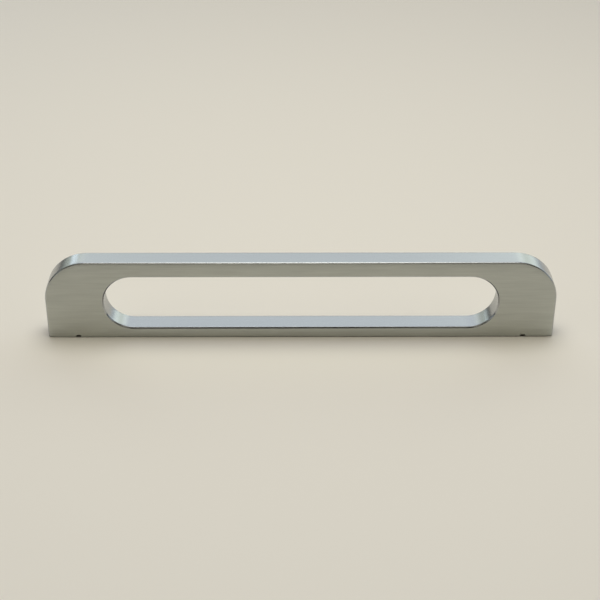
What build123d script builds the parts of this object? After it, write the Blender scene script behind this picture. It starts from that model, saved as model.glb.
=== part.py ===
"""One-piece bridge pull handle: a flat metal bar on edge, with a long finger slot.

The bar stands on its narrow base. X runs along it, Y across its thickness, Z up from the base to the
grip. The origin is in the middle of the base, between the two fixing holes. All lengths are in mm.
"""
from build123d import *
import os
from math import radians, sqrt, tan

# Fixing: two blind tapped holes in the base
hole_spacing = 192.0        # centre to centre
tap_drill_diameter = 3.3    # core of an M4 thread, whose turns are finer than this model
tap_drill_depth = 14.0      # from the base to the end of the full diameter
drill_point_angle = 118.0   # degrees across the drill's tip
lead_in_diameter = 4.6      # 90 degree chamfer where a screw starts
relief_diameter = 10.15     # clears the burr that a drill raises on the door
relief_depth = 0.6          # a relief wider than the bar nicks both long edges of the base

# Bar
end_overhang = 13.0         # from a hole's centre to the end of the bar
bar_thickness = 10.0        # across Y
corner_radius = 18.2        # the two upper corners
edge_break = 0.4            # rounding of every outer edge and of the slot's rims

# Finger slot, with half-round ends, and the metal left around it
slot_height = 24.8          # room for fingers between the two rails
base_rail_height = 5.0      # under the slot
grip_rail_height = 7.0      # over the slot
end_wall = 24.75            # from the end of the slot to the end of the bar

# Worked out from the sizes above
bar_length = hole_spacing + 2 * end_overhang
bar_height = base_rail_height + slot_height + grip_rail_height
slot_length = bar_length - 2 * end_wall
slot_centre_z = base_rail_height + slot_height / 2
hole_centres = (-hole_spacing / 2, hole_spacing / 2)


def bar_outline():
    """Side view of the bar: square lower corners and tangent arcs at the upper ones."""
    half = bar_length / 2
    shoulder = bar_height - corner_radius
    on_arc = corner_radius * sqrt(0.5)
    arc_x = half - corner_radius
    with BuildLine(Plane.XZ) as outline:
        Polyline((-half, shoulder), (-half, 0), (half, 0), (half, shoulder))
        ThreePointArc((half, shoulder), (arc_x + on_arc, shoulder + on_arc), (arc_x, bar_height))
        Line((arc_x, bar_height), (-arc_x, bar_height))
        ThreePointArc((-arc_x, bar_height), (-arc_x - on_arc, shoulder + on_arc), (-half, shoulder))
    return make_face(outline.line)


def finger_slot():
    """Cutter for the slot, which passes right through the thickness."""
    profile = Plane.XZ * Pos(0, slot_centre_z) * SlotOverall(slot_length, slot_height)
    return extrude(profile, amount=bar_thickness, both=True)


def broken_edges(bar):
    """Round the rims of both broad faces, and the two ends of the base."""
    rims = bar.edges().filter_by_position(Axis.Y, -bar_thickness / 2, -bar_thickness / 2)
    rims += bar.edges().filter_by_position(Axis.Y, bar_thickness / 2, bar_thickness / 2)
    base_ends = bar.edges().filter_by(Axis.Y).group_by(Axis.Z)[0]
    return fillet(rims + base_ends, edge_break)


def fixing_hole(x):
    """Cutter for one tapped hole: relief, lead-in, tap drill and the drill's point, turned about Z."""
    relief = relief_diameter / 2
    lead_in = lead_in_diameter / 2
    core = tap_drill_diameter / 2
    core_start = relief_depth + lead_in - core
    tip = tap_drill_depth + core / tan(radians(drill_point_angle / 2))
    section = Polyline((0, 0), (relief, 0), (relief, relief_depth), (lead_in, relief_depth),
                       (core, core_start), (core, tap_drill_depth), (0, tip), close=True)
    profile = Plane.XZ * make_face(section)
    return Pos(x, 0, 0) * revolve(profile, Axis.Z)


def pull_handle():
    """The finished handle, as one solid."""
    bar = extrude(bar_outline(), amount=bar_thickness / 2, both=True) - finger_slot()
    bar = broken_edges(bar)
    for x in hole_centres:
        bar -= fixing_hole(x)
    return bar


os.makedirs("parts", exist_ok=True)
export_step(pull_handle(), "parts/pull_handle.step")
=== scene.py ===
"""Looks of a one-piece bridge pull handle: a brushed metal bar on edge with a long finger slot.

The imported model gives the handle's overall box. Everything is in metres in the model's own frame: X along
the handle, Y across its thickness, Z up from the base, and the origin in the middle of the base.
"""
from __future__ import annotations

import logging
import math
from dataclasses import dataclass, field
from enum import Enum
from typing import Callable, Iterable, Sequence

import bmesh
import bpy
from mathutils import Matrix, Vector

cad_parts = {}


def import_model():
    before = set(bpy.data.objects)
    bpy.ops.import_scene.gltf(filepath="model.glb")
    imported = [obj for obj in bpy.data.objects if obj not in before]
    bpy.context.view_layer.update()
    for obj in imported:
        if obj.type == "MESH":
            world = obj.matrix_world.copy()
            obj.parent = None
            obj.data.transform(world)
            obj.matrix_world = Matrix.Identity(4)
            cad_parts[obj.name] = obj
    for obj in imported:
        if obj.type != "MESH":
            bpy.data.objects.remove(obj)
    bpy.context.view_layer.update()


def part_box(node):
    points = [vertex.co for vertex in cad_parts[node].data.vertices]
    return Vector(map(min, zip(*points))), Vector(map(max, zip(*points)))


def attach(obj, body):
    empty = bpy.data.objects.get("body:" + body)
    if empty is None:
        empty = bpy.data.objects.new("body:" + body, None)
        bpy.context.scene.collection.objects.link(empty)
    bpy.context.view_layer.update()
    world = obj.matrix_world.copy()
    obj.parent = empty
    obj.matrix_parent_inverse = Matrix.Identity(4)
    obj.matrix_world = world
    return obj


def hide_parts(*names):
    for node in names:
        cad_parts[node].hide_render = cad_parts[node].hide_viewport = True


MM = 0.001
NODE = "pull_handle"
log = logging.getLogger("pull_handle")

Point = tuple[float, float]
FACE_SLOT, WALL_SLOT, BREAK_SLOT, HOLE_SLOT = range(4)
NOISE_LOW, NOISE_HIGH = 0.3, 0.7    # the range that nearly all of the noise lies in


# ---------------------------------------------------------------- colour and nodes

def linear(colour: str) -> tuple[float, float, float, float]:
    """Turn an sRGB hex colour into linear RGBA.

    Args:
        colour: six hex digits, such as "c9c6ba".

    Returns:
        Linear red, green and blue, and an alpha of 1.
    """
    channels = [int(colour[i:i + 2], 16) / 255 for i in (0, 2, 4)]
    red, green, blue = (c / 12.92 if c <= 0.04045 else ((c + 0.055) / 1.055) ** 2.4 for c in channels)
    return red, green, blue, 1.0


def add_node(tree: bpy.types.NodeTree, kind: str, settings: dict | None = None,
             inputs: dict | None = None) -> bpy.types.Node:
    """Add one node to a tree, with its settings, values and links.

    Args:
        tree: the node tree that gets the node.
        kind: Blender's name of the node type.
        settings: attributes to set on the node.
        inputs: socket name or number to a plain value, or to the output socket that feeds it.

    Returns:
        The new node.
    """
    node = tree.nodes.new(kind)
    for name, value in (settings or {}).items():
        setattr(node, name, value)
    for key, value in (inputs or {}).items():
        socket = node.inputs[key]
        if isinstance(value, bpy.types.NodeSocket):
            tree.links.new(value, socket)
        else:
            socket.default_value = value
    return node


# ---------------------------------------------------------------- finishes

class GrainAxis(Enum):
    """The way that the abrasive ran over a surface."""

    ALONG_LENGTH = "along X"
    ALONG_OUTLINE = "along the outline, across Y"


@dataclass(frozen=True)
class BrushedSteel:
    """Stainless steel finished with an abrasive belt or pad, in parallel scratches."""

    # Fine parallel scratches stretch every reflection across the grain, so flat faces look silky and change
    # tone slowly. Where the belt bore harder it leaves broad, faint streaks.
    # Real scratches are about 0.03 mm apart. They are drawn at 0.35 mm, and the streaks at 1.6 mm, so that
    # they show.
    name: str
    grain: GrainAxis
    colour: str = "c1c4be"
    roughness: float = 0.30
    anisotropy: float = 0.8
    scratch_spacing_mm: float = 0.35
    scratch_length_mm: float = 22.0
    tone_variation: float = 0.09
    streak_spacing_mm: float = 1.6
    streak_length_mm: float = 16.0
    streak_variation: float = 0.08
    scratch_depth_mm: float = 0.004

    def drawn_out_noise(self, tree: bpy.types.NodeTree, place: bpy.types.Node, length_mm: float,
                        spacing_mm: float, detail: float, roughness: float) -> bpy.types.Node:
        """Add noise that is drawn out along the grain.

        Args:
            tree: the material's node tree.
            place: the texture coordinate node.
            length_mm: size of a mark along the grain.
            spacing_mm: size of a mark across the grain.
            detail: how many finer layers the noise has.
            roughness: how strong those layers are.

        Returns:
            The noise node.
        """
        slow, fine = 1.0 / (length_mm * MM), 1.0 / (spacing_mm * MM)
        stretch = (slow, slow, fine) if self.grain is GrainAxis.ALONG_LENGTH else (slow, fine, slow)
        grain = add_node(tree, "ShaderNodeVectorMath", {"operation": "MULTIPLY"},
                         {0: place.outputs["Object"], 1: stretch})
        return add_node(tree, "ShaderNodeTexNoise", {},
                        {"Vector": grain.outputs[0], "Scale": 1.0, "Detail": detail, "Roughness": roughness})

    def shade(self, tree: bpy.types.NodeTree, noise: bpy.types.Node, variation: float) -> bpy.types.Node:
        """Turn noise into a share of the metal's colour.

        Args:
            tree: the material's node tree.
            noise: the noise node.
            variation: how much darker than the metal the darkest marks are.

        Returns:
            The node whose output is the share.
        """
        return add_node(tree, "ShaderNodeMapRange", {},
                        {"Value": noise.outputs[0], "From Min": NOISE_LOW, "From Max": NOISE_HIGH,
                         "To Min": 1.0 - variation, "To Max": 1.0})

    def material(self) -> bpy.types.Material:
        """Build the finish as a node material.

        Returns:
            The new material.
        """
        material = bpy.data.materials.new(self.name)
        material.use_nodes = True
        tree = material.node_tree
        tree.nodes.clear()
        place = add_node(tree, "ShaderNodeTexCoord")
        scratches = self.drawn_out_noise(tree, place, self.scratch_length_mm, self.scratch_spacing_mm,
                                         detail=3.0, roughness=0.6)
        streaks = self.drawn_out_noise(tree, place, self.streak_length_mm, self.streak_spacing_mm,
                                       detail=2.0, roughness=0.5)
        tone = self.shade(tree, scratches, self.tone_variation)
        streak = self.shade(tree, streaks, self.streak_variation)
        both = add_node(tree, "ShaderNodeMath", {"operation": "MULTIPLY"},
                        {0: tone.outputs[0], 1: streak.outputs[0]})
        base = add_node(tree, "ShaderNodeVectorMath", {"operation": "SCALE"},
                        {0: linear(self.colour)[:3], "Scale": both.outputs[0]})
        relief = add_node(tree, "ShaderNodeBump", {},
                          {"Height": scratches.outputs[0], "Distance": self.scratch_depth_mm * MM,
                           "Strength": 1.0})
        # The tangent runs across the scratches, because that is the way the reflections stretch.
        up, deep = (1.0, 0.0) if self.grain is GrainAxis.ALONG_LENGTH else (0.0, 1.0)
        across = add_node(tree, "ShaderNodeCombineXYZ", {}, {"X": 0.0, "Y": deep, "Z": up})
        shader = add_node(tree, "ShaderNodeBsdfPrincipled", {},
                          {"Base Color": base.outputs[0], "Metallic": 1.0, "Roughness": self.roughness,
                           "Anisotropic": self.anisotropy, "Tangent": across.outputs[0],
                           "Normal": relief.outputs[0]})
        add_node(tree, "ShaderNodeOutputMaterial", {}, {"Surface": shader.outputs[0]})
        return material


@dataclass(frozen=True)
class MachinedSteelWithPaintedShade:
    """Bare steel left by a drill and a tap, drawn dark as painted shade for the hollow of the hole."""

    # Fine turning marks run round the hole. The metal is drawn darker than bare steel is, as painted shade
    # for the hole's hollow, so that the eye reads a hole as nearly black. Real marks are about 0.05 mm
    # apart, drawn at 0.12 mm so that they show.
    name: str = "tapped_hole_painted_shade"
    # painted shade: this dark colour stands in for the shade inside the hole, not for the steel's own tone
    colour: str = "4a4845"
    roughness: float = 0.45
    mark_spacing_mm: float = 0.12
    mark_length_mm: float = 1.2
    mark_depth_mm: float = 0.003
    tone_variation: float = 0.12

    def material(self) -> bpy.types.Material:
        """Build the finish as a node material.

        Returns:
            The new material.
        """
        material = bpy.data.materials.new(self.name)
        material.use_nodes = True
        tree = material.node_tree
        tree.nodes.clear()
        place = add_node(tree, "ShaderNodeTexCoord")
        slow, fine = 1.0 / (self.mark_length_mm * MM), 1.0 / (self.mark_spacing_mm * MM)
        level = add_node(tree, "ShaderNodeVectorMath", {"operation": "MULTIPLY"},
                         {0: place.outputs["Object"], 1: (slow, slow, fine)})
        marks = add_node(tree, "ShaderNodeTexNoise", {},
                         {"Vector": level.outputs[0], "Scale": 1.0, "Detail": 2.0})
        base = add_node(tree, "ShaderNodeMapRange", {},
                        {"Value": marks.outputs[0], "From Min": NOISE_LOW, "From Max": NOISE_HIGH,
                         "To Min": 1.0 - self.tone_variation, "To Max": 1.0})
        tint = add_node(tree, "ShaderNodeVectorMath", {"operation": "SCALE"},
                        {0: linear(self.colour)[:3], "Scale": base.outputs[0]})
        relief = add_node(tree, "ShaderNodeBump", {},
                          {"Height": marks.outputs[0], "Distance": self.mark_depth_mm * MM, "Strength": 1.0})
        shader = add_node(tree, "ShaderNodeBsdfPrincipled", {},
                          {"Base Color": tint.outputs[0], "Metallic": 1.0, "Roughness": self.roughness,
                           "Normal": relief.outputs[0]})
        add_node(tree, "ShaderNodeOutputMaterial", {}, {"Surface": shader.outputs[0]})
        return material


@dataclass(frozen=True)
class SeamlessPaper:
    """Matt background paper, rolled smooth at the mill."""

    # It has hardly any gloss and no pattern, so the eye finds only soft shadows on it.
    name: str = "seamless_paper"
    colour: str = "efe8dc"
    roughness: float = 0.9
    gloss: float = 0.1

    def material(self) -> bpy.types.Material:
        """Build the paper as a node material.

        Returns:
            The new material.
        """
        material = bpy.data.materials.new(self.name)
        material.use_nodes = True
        tree = material.node_tree
        tree.nodes.clear()
        shader = add_node(tree, "ShaderNodeBsdfPrincipled", {},
                          {"Base Color": linear(self.colour), "Roughness": self.roughness,
                           "Specular IOR Level": self.gloss})
        add_node(tree, "ShaderNodeOutputMaterial", {}, {"Surface": shader.outputs[0]})
        return material


# ---------------------------------------------------------------- the handle

@dataclass(frozen=True)
class Station:
    """One place round the bar: a point of the outline, its partner on the slot's rim, and both normals."""

    outer: Vector
    outward: Vector
    inner: Vector
    into_slot: Vector


@dataclass
class TappedHole:
    """A blind M4 hole in the base, with a wide shallow relief, a countersunk lead-in and a drill point.

    The relief is a little wider than the bar, so that it just breaks out of both broad faces.
    """

    across: float
    relief_radius: float
    relief_depth: float = 1.3 * MM
    lead_in_radius: float = 2.3 * MM
    major_radius: float = 2.0 * MM
    minor_radius: float = 1.65 * MM
    pitch: float = 0.7 * MM
    thread_end: float = 12.0 * MM
    drill_depth: float = 14.0 * MM
    point_angle: float = 118.0
    segments: int = 48
    steps_per_pitch: int = 8
    overcut: float = 1.0 * MM

    def rings(self) -> list[list[Vector]]:
        """Lay out the removed metal, from below the base up to the drill point.

        Returns:
            Rings of points round the hole, lowest first.
        """
        def ring(z: float, radius: Callable[[float], float]) -> list[Vector]:
            """Place one ring of points.

            Args:
                z: height of the ring.
                radius: gives the radius at a share of a turn.

            Returns:
                The ring's points.
            """
            turns = [i / self.segments for i in range(self.segments)]
            return [Vector((self.across + radius(t) * math.cos(math.tau * t),
                            radius(t) * math.sin(math.tau * t), z)) for t in turns]

        cone_height = self.lead_in_radius - self.minor_radius
        thread_start = self.relief_depth + cone_height / 2
        count = round((self.thread_end - thread_start) / self.pitch * self.steps_per_pitch)

        def thread(z: float) -> Callable[[float], float]:
            """Cut the thread at one height.

            Args:
                z: the height.

            Returns:
                A function that gives the radius at a share of a turn.
            """
            def radius(turn: float) -> float:
                """Radius at a share of a turn.

                Args:
                    turn: how far round, from 0 to 1.

                Returns:
                    The radius there.
                """
                phase = (z / self.pitch - turn) % 1.0
                ridge = 1.0 - 2.0 * abs(phase - 0.5)
                fade = min(1.0, (z - thread_start) / self.pitch, (self.thread_end - z) / self.pitch)
                opening = max(0.0, self.lead_in_radius - (z - self.relief_depth))
                depth = (self.major_radius - self.minor_radius) * ridge * max(0.0, fade)
                return max(self.minor_radius + depth, opening)
            return radius

        rings = [ring(-self.overcut, lambda t: self.relief_radius),
                 ring(self.relief_depth, lambda t: self.relief_radius),
                 ring(self.relief_depth, lambda t: self.lead_in_radius)]
        for i in range(count + 1):
            z = thread_start + (self.thread_end - thread_start) * i / count
            rings.append(ring(z, thread(z)))
        rings.append(ring(self.drill_depth, lambda t: self.minor_radius))
        return rings

    def cutter(self) -> bpy.types.Object:
        """Make the metal that the tools remove, as a closed solid for a boolean cut.

        Returns:
            The cutter, linked to the scene's collection.
        """
        work = bmesh.new()
        rows = [[work.verts.new(point) for point in ring] for ring in self.rings()]
        for row, following in zip(rows, rows[1:]):
            for i in range(self.segments):
                j = (i + 1) % self.segments
                work.faces.new((row[i], row[j], following[j], following[i]))
        work.faces.new(list(reversed(rows[0])))
        depth = self.drill_depth + self.minor_radius / math.tan(math.radians(self.point_angle / 2))
        tip = work.verts.new(Vector((self.across, 0, depth)))
        for i in range(self.segments):
            work.faces.new((rows[-1][i], rows[-1][(i + 1) % self.segments], tip))
        for quad in work.faces:
            quad.smooth = True
            quad.material_index = HOLE_SLOT
        bmesh.ops.recalc_face_normals(work, faces=work.faces)
        mesh = bpy.data.meshes.new("hole_cutter")
        work.to_mesh(mesh)
        work.free()
        cutter = bpy.data.objects.new("hole_cutter", mesh)
        bpy.context.scene.collection.objects.link(cutter)
        return cutter


@dataclass
class HandleBody:
    """The bar with its slot, rounded edges and softly crowned faces, as one closed mesh."""

    length: float
    thickness: float
    height: float
    corner_radius: float = 18.2 * MM
    foot_radius: float = 0.42 * MM
    outer_break: float = 0.40 * MM
    slot_break: float = 0.62 * MM
    break_softness: float = 0.12
    base_rail: float = 5.0 * MM
    grip_rail: float = 7.0 * MM
    end_wall: float = 24.75 * MM
    outer_crown: float = 0.40 * MM
    outer_reach: float = 1.6 * MM
    base_crown: float = 0.10 * MM
    slot_crown: float = 0.03 * MM
    rim_reach: float = 1.8 * MM
    hole_spacing: float = 192.0 * MM
    relief_breakout: float = 2.3 * MM
    step: float = 1.5 * MM
    arc_steps: int = 36
    foot_steps: int = 5
    face_steps: int = 24
    wall_steps: int = 8
    break_steps: int = 3
    facet_point: float = 0.2
    sharp_angle: float = 32.0
    face_finish: BrushedSteel = field(default_factory=lambda: BrushedSteel(
        "belt_brushed_steel_face", GrainAxis.ALONG_LENGTH))
    edge_finish: BrushedSteel = field(default_factory=lambda: BrushedSteel(
        "satin_steel_edge", GrainAxis.ALONG_OUTLINE, colour="b2b4b5",
        roughness=0.25, anisotropy=0.3, tone_variation=0.02, streak_variation=0.02, scratch_depth_mm=0.0003))
    break_finish: BrushedSteel = field(default_factory=lambda: BrushedSteel(
        "deburred_steel_edge", GrainAxis.ALONG_OUTLINE, colour="b2b4b5",
        roughness=0.16, anisotropy=0.0, tone_variation=0.02, streak_variation=0.02, scratch_depth_mm=0.0005))
    # The holes' material carries painted shade: dark metal in place of the shade in their hollows.
    hole_finish_and_painted_shade: MachinedSteelWithPaintedShade = field(default_factory=MachinedSteelWithPaintedShade)

    @property
    def slot_radius(self) -> float:
        """Radius of the slot's round ends."""
        return (self.height - self.base_rail - self.grip_rail) / 2

    @property
    def slot_z(self) -> float:
        """Height of the slot's middle line."""
        return self.base_rail + self.slot_radius

    @property
    def slot_reach(self) -> float:
        """Distance from the middle of the handle to the centre of a round slot end."""
        return self.length / 2 - self.end_wall - self.slot_radius

    def right_half_outline(self) -> list[tuple[Vector, Vector]]:
        """Follow the right-hand end, from the top over the slot's end to the base under it.

        Returns:
            Points of the outline, each with its normal.
        """
        half = self.length / 2
        shoulder = Vector((half - self.corner_radius, self.height - self.corner_radius))
        foot = Vector((half - self.foot_radius, self.foot_radius))
        points: list[tuple[Vector, Vector]] = []

        def straight(start: Vector, end: Vector, normal: Vector) -> None:
            """Add the points of a straight stretch.

            Args:
                start: where it starts.
                end: where it ends; the next stretch adds this point.
                normal: the way that it faces.
            """
            count = max(2, round((end - start).length / self.step))
            points.extend((start.lerp(end, i / count), normal) for i in range(count))

        def arc(centre: Vector, radius: float, start: float, count: int) -> None:
            """Add the points of a quarter turn, clockwise.

            Args:
                centre: the arc's centre.
                radius: its radius.
                start: the angle that it starts from, in degrees.
                count: how many points it gets.
            """
            for i in range(count):
                angle = math.radians(start - 90.0 * i / count)
                normal = Vector((math.cos(angle), math.sin(angle)))
                points.append((centre + radius * normal, normal))

        up, right, down = Vector((0, 1)), Vector((1, 0)), Vector((0, -1))
        straight(Vector((self.slot_reach, self.height)), Vector((shoulder.x, self.height)), up)
        arc(shoulder, self.corner_radius, 90.0, self.arc_steps)
        straight(Vector((half, shoulder.y)), Vector((half, foot.y)), right)
        arc(foot, self.foot_radius, 0.0, self.foot_steps)
        straight(Vector((foot.x, 0)), Vector((self.slot_reach, 0)), down)
        return points

    def stations(self) -> list[Station]:
        """Pair every point of the outline with the slot's rim, clockwise from the top left.

        Returns:
            The stations, once round the handle.
        """
        count = round(2 * self.slot_reach / self.step)
        top_rim, low_rim = self.slot_z + self.slot_radius, self.slot_z - self.slot_radius
        up, down = Vector((0, 1)), Vector((0, -1))
        top = [Station(Vector((x, self.height)), up, Vector((x, top_rim)), down)
               for x in (self.slot_reach * (2 * i / count - 1) for i in range(count))]
        centre = Vector((self.slot_reach, self.slot_z))
        right = []
        for point, normal in self.right_half_outline():
            ray = (point - centre).normalized()
            right.append(Station(point, normal, centre + self.slot_radius * ray, -ray))
        base = [Station(Vector((-s.outer.x, 0)), down, Vector((-s.outer.x, low_rim)), up) for s in top]

        def turned(station: Station) -> Station:
            """Mirror a station to the other end of the handle.

            Args:
                station: one on the right.

            Returns:
                Its partner on the left.
            """
            flip = Vector((-1, 1))
            return Station(station.outer * flip, station.outward * flip,
                           station.inner * flip, station.into_slot * flip)

        first_base = Station(Vector((self.slot_reach, 0)), down, Vector((self.slot_reach, low_rim)), up)
        left = [turned(first_base)] + [turned(s) for s in reversed(right[1:])]
        return top + right + [first_base] + base[1:] + left

    def crown(self, place: Vector) -> float:
        """How far a broad face has dropped at a place, from the belt's wrap round each edge.

        Args:
            place: a point of the face, as X and Z.

        Returns:
            The drop.
        """
        half = self.length / 2
        shoulder = Vector((half - self.corner_radius, self.height - self.corner_radius))
        x, z = abs(place.x), place.y
        if x > shoulder.x and z > shoulder.y:
            to_outline = self.corner_radius - (Vector((x, z)) - shoulder).length
        else:
            to_outline = min(half - x, self.height - z)
        along = max(0.0, x - self.slot_reach)
        to_slot = math.hypot(along, z - self.slot_z) - self.slot_radius
        return (self.outer_crown * math.exp(-max(0.0, to_outline) / self.outer_reach)
                + self.base_crown * math.exp(-max(0.0, z) / self.rim_reach)
                + self.slot_crown * math.exp(-max(0.0, to_slot) / self.rim_reach))

    def break_profile(self, size: float) -> list[Point]:
        """A chamfer with softened corners, from the wall round to the broad face.

        Args:
            size: how far the break reaches along the wall, and along the face.

        Returns:
            Pairs of the inset from the wall and the inset from the face.
        """
        soft = self.break_softness * size
        facet = size - soft
        turn = soft / math.sqrt(2)
        start, corner, end = Vector((0, size)), Vector((0, facet)), Vector((turn, facet - turn))
        bend = [start.lerp(corner, t).lerp(corner.lerp(end, t), t)
                for t in (i / self.break_steps for i in range(self.break_steps + 1))]
        half = bend + [end.lerp(Vector((end.y, end.x)), self.facet_point)]
        return [(point.x, point.y) for point in half] + [(point.y, point.x) for point in reversed(half)]

    def section(self, station: Station) -> list[tuple[Vector, int]]:
        """One closed loop of points round the bar's metal at a station.

        Args:
            station: where the loop is taken.

        Returns:
            Points, each with the material slot of the stretch that starts there.
        """
        flat = self.thickness / 2
        loop: list[tuple[Vector, int]] = []

        def add(place: Vector, inset: float, side: int, slot: int) -> None:
            """Put a point on the loop, below the crowned face by an inset.

            Args:
                place: the point, as X and Z.
                inset: how far it lies below the face.
                side: 1 for the back and -1 for the front.
                slot: material slot of the stretch that starts there.
            """
            loop.append((Vector((place.x, side * (flat - inset - self.crown(place)), place.y)), slot))

        def rim(edge: Vector, away: Vector, size: float, side: int, to_face: bool) -> None:
            """Turn over the broken edge between a wall and a face.

            Args:
                edge: the wall's place, as X and Z.
                away: the wall's normal.
                size: the break's size.
                side: 1 for the back and -1 for the front.
                to_face: True from the wall to the face, and False the other way.
            """
            profile = self.break_profile(size)
            if not to_face:
                profile.reverse()
            for from_wall, from_face in profile[:-1]:
                add(edge - from_wall * away, from_face, side, BREAK_SLOT)

        def face(start: Vector, end: Vector, side: int) -> None:
            """Cross a broad face, with closer points near its edges.

            Args:
                start: where the face starts, as X and Z.
                end: where it ends.
                side: 1 for the back and -1 for the front.
            """
            for i in range(self.face_steps):
                add(start.lerp(end, (1 - math.cos(math.pi * i / self.face_steps)) / 2), 0.0, side, FACE_SLOT)

        def wall(edge: Vector, size: float, side: int) -> None:
            """Cross a wall from one broad face's side to the other's.

            Args:
                edge: the wall's place, as X and Z.
                size: size of the breaks beside it.
                side: the side that it starts from.
            """
            reach = flat - size - self.crown(edge)
            for i in range(self.wall_steps):
                across = side * reach * (1 - 2 * i / self.wall_steps)
                loop.append((Vector((edge.x, across, edge.y)), WALL_SLOT))

        outer, inner = station.outer, station.inner
        outer_start = outer - self.outer_break * station.outward
        inner_start = inner - self.slot_break * station.into_slot
        wall(outer, self.outer_break, 1)
        rim(outer, station.outward, self.outer_break, -1, True)
        face(outer_start, inner_start, -1)
        rim(inner, station.into_slot, self.slot_break, -1, False)
        wall(inner, self.slot_break, -1)
        rim(inner, station.into_slot, self.slot_break, 1, True)
        face(inner_start, outer_start, 1)
        rim(outer, station.outward, self.outer_break, 1, False)
        return loop

    def mesh(self) -> bpy.types.Mesh:
        """Join the sections of all stations into one closed mesh.

        Returns:
            The mesh, without its holes.
        """
        loops = [self.section(station) for station in self.stations()]
        work = bmesh.new()
        rows = [[work.verts.new(point) for point, _ in loop] for loop in loops]
        slots = [slot for _, slot in loops[0]]
        count = len(slots)
        for row, following in zip(rows, rows[1:] + rows[:1]):
            for i in range(count):
                j = (i + 1) % count
                quad = work.faces.new((row[i], row[j], following[j], following[i]))
                quad.material_index = slots[i]
                quad.smooth = True
        bmesh.ops.recalc_face_normals(work, faces=work.faces)
        mesh = bpy.data.meshes.new("handle_body")
        work.to_mesh(mesh)
        work.free()
        return mesh

    def holes(self) -> list[TappedHole]:
        """Set out the fixing holes, with reliefs just wide enough to break out of the faces.

        Returns:
            The left and the right hole.
        """
        half_wall = self.thickness / 2 - self.crown(Vector((self.hole_spacing / 2, self.outer_break)))
        relief = math.hypot(half_wall, self.relief_breakout / 2)
        return [TappedHole(side * self.hole_spacing / 2, relief) for side in (-1, 1)]

    def build(self) -> bpy.types.Object:
        """Make the bar, cut its holes and dress it.

        Returns:
            The finished piece.
        """
        mesh = self.mesh()
        for finish in (self.face_finish, self.edge_finish, self.break_finish, self.hole_finish_and_painted_shade):
            mesh.materials.append(finish.material())
        piece = bpy.data.objects.new("handle_body", mesh)
        bpy.context.scene.collection.objects.link(piece)
        for hole in self.holes():
            cutter = hole.cutter()
            cut = piece.modifiers.new("hole", "BOOLEAN")
            cut.operation, cut.solver, cut.object = "DIFFERENCE", "EXACT", cutter
            bpy.context.view_layer.update()
            cut_piece = piece.evaluated_get(bpy.context.evaluated_depsgraph_get())
            drilled = bpy.data.meshes.new_from_object(cut_piece)
            piece.modifiers.clear()
            piece.data = drilled
            bpy.data.objects.remove(cutter)
            log.info("hole at x %.1f mm cut", hole.across / MM)
        piece.data.set_sharp_from_angle(angle=math.radians(self.sharp_angle))
        return piece


# ---------------------------------------------------------------- the studio

@dataclass(frozen=True)
class Glow:
    """A soft glow on the studio's walls or ceiling: where it is, how wide, its colour and its strength.

    It is full within the core's angle and gone at the rim's, in degrees.
    """

    azimuth: float
    elevation: float
    core: float
    rim: float
    colour: str
    radiance: float

    def direction(self) -> Vector:
        """Point at the glow. Azimuth 0 is +Y, behind the handle, and 90 is +X.

        Returns:
            A unit vector towards the glow.
        """
        azimuth, elevation = math.radians(self.azimuth), math.radians(self.elevation)
        level = math.cos(elevation)
        return Vector((level * math.sin(azimuth), level * math.cos(azimuth), math.sin(elevation)))


@dataclass(frozen=True)
class Softbox:
    """A lamp behind a diffuser, seen only in reflections and by what it does to surfaces."""

    name: str
    place: tuple[float, float, float]
    target: tuple[float, float, float]
    width: float
    depth: float
    colour: str
    radiance: float

    def build(self) -> bpy.types.Object:
        """Hang the lamp and aim it.

        Returns:
            The lamp.
        """
        data = bpy.data.lights.new(self.name, "AREA")
        data.shape, data.size, data.size_y = "ELLIPSE", self.width, self.depth
        data.color = linear(self.colour)[:3]
        data.energy = self.radiance * math.pi * math.pi / 4 * self.width * self.depth
        lamp = bpy.data.objects.new(self.name, data)
        lamp.location = self.place
        aim = Vector(self.target) - Vector(self.place)
        lamp.rotation_euler = aim.to_track_quat("-Z", "Y").to_euler()
        lamp.visible_camera = False
        bpy.context.scene.collection.objects.link(lamp)
        return lamp


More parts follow.
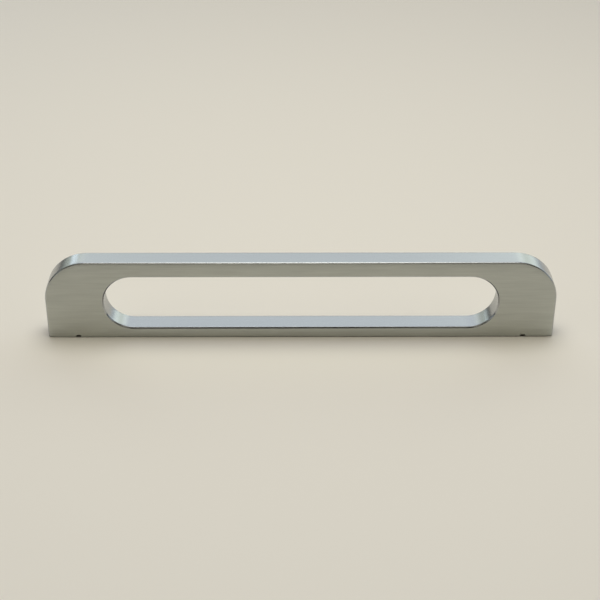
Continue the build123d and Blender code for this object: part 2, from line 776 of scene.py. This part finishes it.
@dataclass
class Studio:
    """Floor, soft light and camera.

    The eye is in metres and the turns are in degrees. The handle mirrors the windows in its top and its
    slot, and the pale floor in its front face.
    """

    room: str = "fff4dc"
    room_radiance: float = 0.02
    sky: str = "d0d6ff"
    daylight: str = "f4fdf0"
    side_daylight: str = "eaf7ff"
    wall: str = "fffae6"
    overhead: str = "fffef2"
    lamp: str = "dceeff"
    window_radiance: float = 1.25
    wall_radiance: float = 0.3
    floor_size: float = 12.0
    eye: Vector = field(default_factory=lambda: Vector((-5.80, -517.17, 332.05)) * MM)
    heading: float = 0.593
    tilt: float = 31.444
    roll: float = 0.217
    lens: float = 84.57
    sensor: float = 36.0
    near: float = 0.01

    def glows(self) -> list[Glow]:
        """Set out the glows: a row of windows behind the handle, pale walls beside it, and a pale ceiling.

        Returns:
            The glows.
        """
        bright, dim = self.window_radiance, self.wall_radiance
        windows = [
            Glow(0.0, 60.0, 10.0, 45.0, self.sky, bright / 2),
            Glow(0.0, 30.0, 4.0, 24.0, self.daylight, 0.7 * bright),
            Glow(25.0, 20.0, 5.0, 20.0, self.daylight, bright),
            Glow(-25.0, 20.0, 5.0, 20.0, self.daylight, 0.65 * bright),
            Glow(60.0, 8.0, 12.0, 38.0, self.side_daylight, bright),
            Glow(-60.0, 8.0, 12.0, 38.0, self.side_daylight, 0.1 * bright),
        ]
        walls = [glow for side in (-1, 1) for glow in (
            Glow(side * 110.0, 38.0, 12.0, 38.0, self.wall, 0.6 * dim),
            Glow(side * 110.0, 17.0, 6.0, 20.0, self.side_daylight, dim),
            Glow(side * 146.0, 57.0, 8.0, 16.5, self.wall, dim),
        )]
        return windows + walls + [Glow(180.0, 84.0, 10.0, 22.0, self.wall, dim)]

    def softboxes(self) -> list[Softbox]:
        """Set out the lamps: a large one overhead, and a small one low behind the left end.

        Returns:
            The lamps.
        """
        return [
            Softbox("overhead_softbox", (0.0, 0.07, 0.80), (0.0, 0.07, 0.0), 0.60, 0.60, self.overhead, 3.9),
            Softbox("small_softbox", (-0.30, 0.48, 0.20), (-0.10, 0.0, 0.03), 0.08, 0.10, self.lamp, 2.0),
        ]

    def light_room(self) -> None:
        """Add the glows up in the world's light."""
        world = bpy.data.worlds.new("studio")
        bpy.context.scene.world = world
        world.use_nodes = True
        tree = world.node_tree
        tree.nodes.clear()
        place = add_node(tree, "ShaderNodeTexCoord")
        room = Vector(linear(self.room)[:3]) * self.room_radiance
        total = add_node(tree, "ShaderNodeCombineXYZ", {}, dict(zip("XYZ", room)))
        for glow in self.glows():
            facing = add_node(tree, "ShaderNodeVectorMath", {"operation": "DOT_PRODUCT"},
                              {0: place.outputs["Generated"], 1: glow.direction()})
            share = add_node(tree, "ShaderNodeMapRange", {"interpolation_type": "SMOOTHSTEP"},
                             {"Value": facing.outputs["Value"],
                              "From Min": math.cos(math.radians(glow.rim)),
                              "From Max": math.cos(math.radians(glow.core)),
                              "To Min": 0.0, "To Max": glow.radiance})
            light = add_node(tree, "ShaderNodeVectorMath", {"operation": "SCALE"},
                             {0: linear(glow.colour)[:3], "Scale": share.outputs[0]})
            total = add_node(tree, "ShaderNodeVectorMath", {"operation": "ADD"},
                             {0: total.outputs[0], 1: light.outputs[0]})
        light = add_node(tree, "ShaderNodeBackground", {}, {"Color": total.outputs[0], "Strength": 1.0})
        add_node(tree, "ShaderNodeOutputWorld", {}, {"Surface": light.outputs[0]})

    def floor(self) -> bpy.types.Object:
        """Lay the paper that the handle stands on.

        Returns:
            The floor.
        """
        reach = self.floor_size / 2
        mesh = bpy.data.meshes.new("floor")
        mesh.from_pydata([(-reach, -reach, 0), (reach, -reach, 0), (reach, reach, 0), (-reach, reach, 0)],
                         [], [(0, 1, 2, 3)])
        mesh.materials.append(SeamlessPaper().material())
        floor = bpy.data.objects.new("floor", mesh)
        bpy.context.scene.collection.objects.link(floor)
        return floor

    def camera(self) -> bpy.types.Object:
        """Place the camera in front of the handle and above it.

        Returns:
            The camera.
        """
        data = bpy.data.cameras.new("camera")
        data.lens = self.lens
        data.sensor_width = self.sensor
        data.clip_start = self.near
        camera = bpy.data.objects.new("camera", data)
        turn = (Matrix.Rotation(-math.radians(self.heading), 4, "Z")
                @ Matrix.Rotation(math.radians(90.0 - self.tilt), 4, "X")
                @ Matrix.Rotation(math.radians(self.roll), 4, "Z"))
        camera.matrix_world = Matrix.Translation(self.eye) @ turn
        bpy.context.scene.collection.objects.link(camera)
        bpy.context.scene.camera = camera
        return camera

    def build(self) -> None:
        """Set up the light, the floor and the camera."""
        self.light_room()
        for softbox in self.softboxes():
            softbox.build()
        self.floor()
        self.camera()
        bpy.context.scene.view_settings.view_transform = "Standard"


def main() -> None:
    """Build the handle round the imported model, then the studio."""
    logging.basicConfig(level=logging.INFO, format="%(name)s: %(message)s")
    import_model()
    low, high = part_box(NODE)
    size = high - low
    body = HandleBody(length=size.x, thickness=size.y, height=size.z)
    piece = body.build()
    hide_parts(NODE)
    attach(piece, "root")
    log.info("%s: %d faces", piece.name, len(piece.data.polygons))
    Studio().build()


if __name__ == "__main__":
    main()
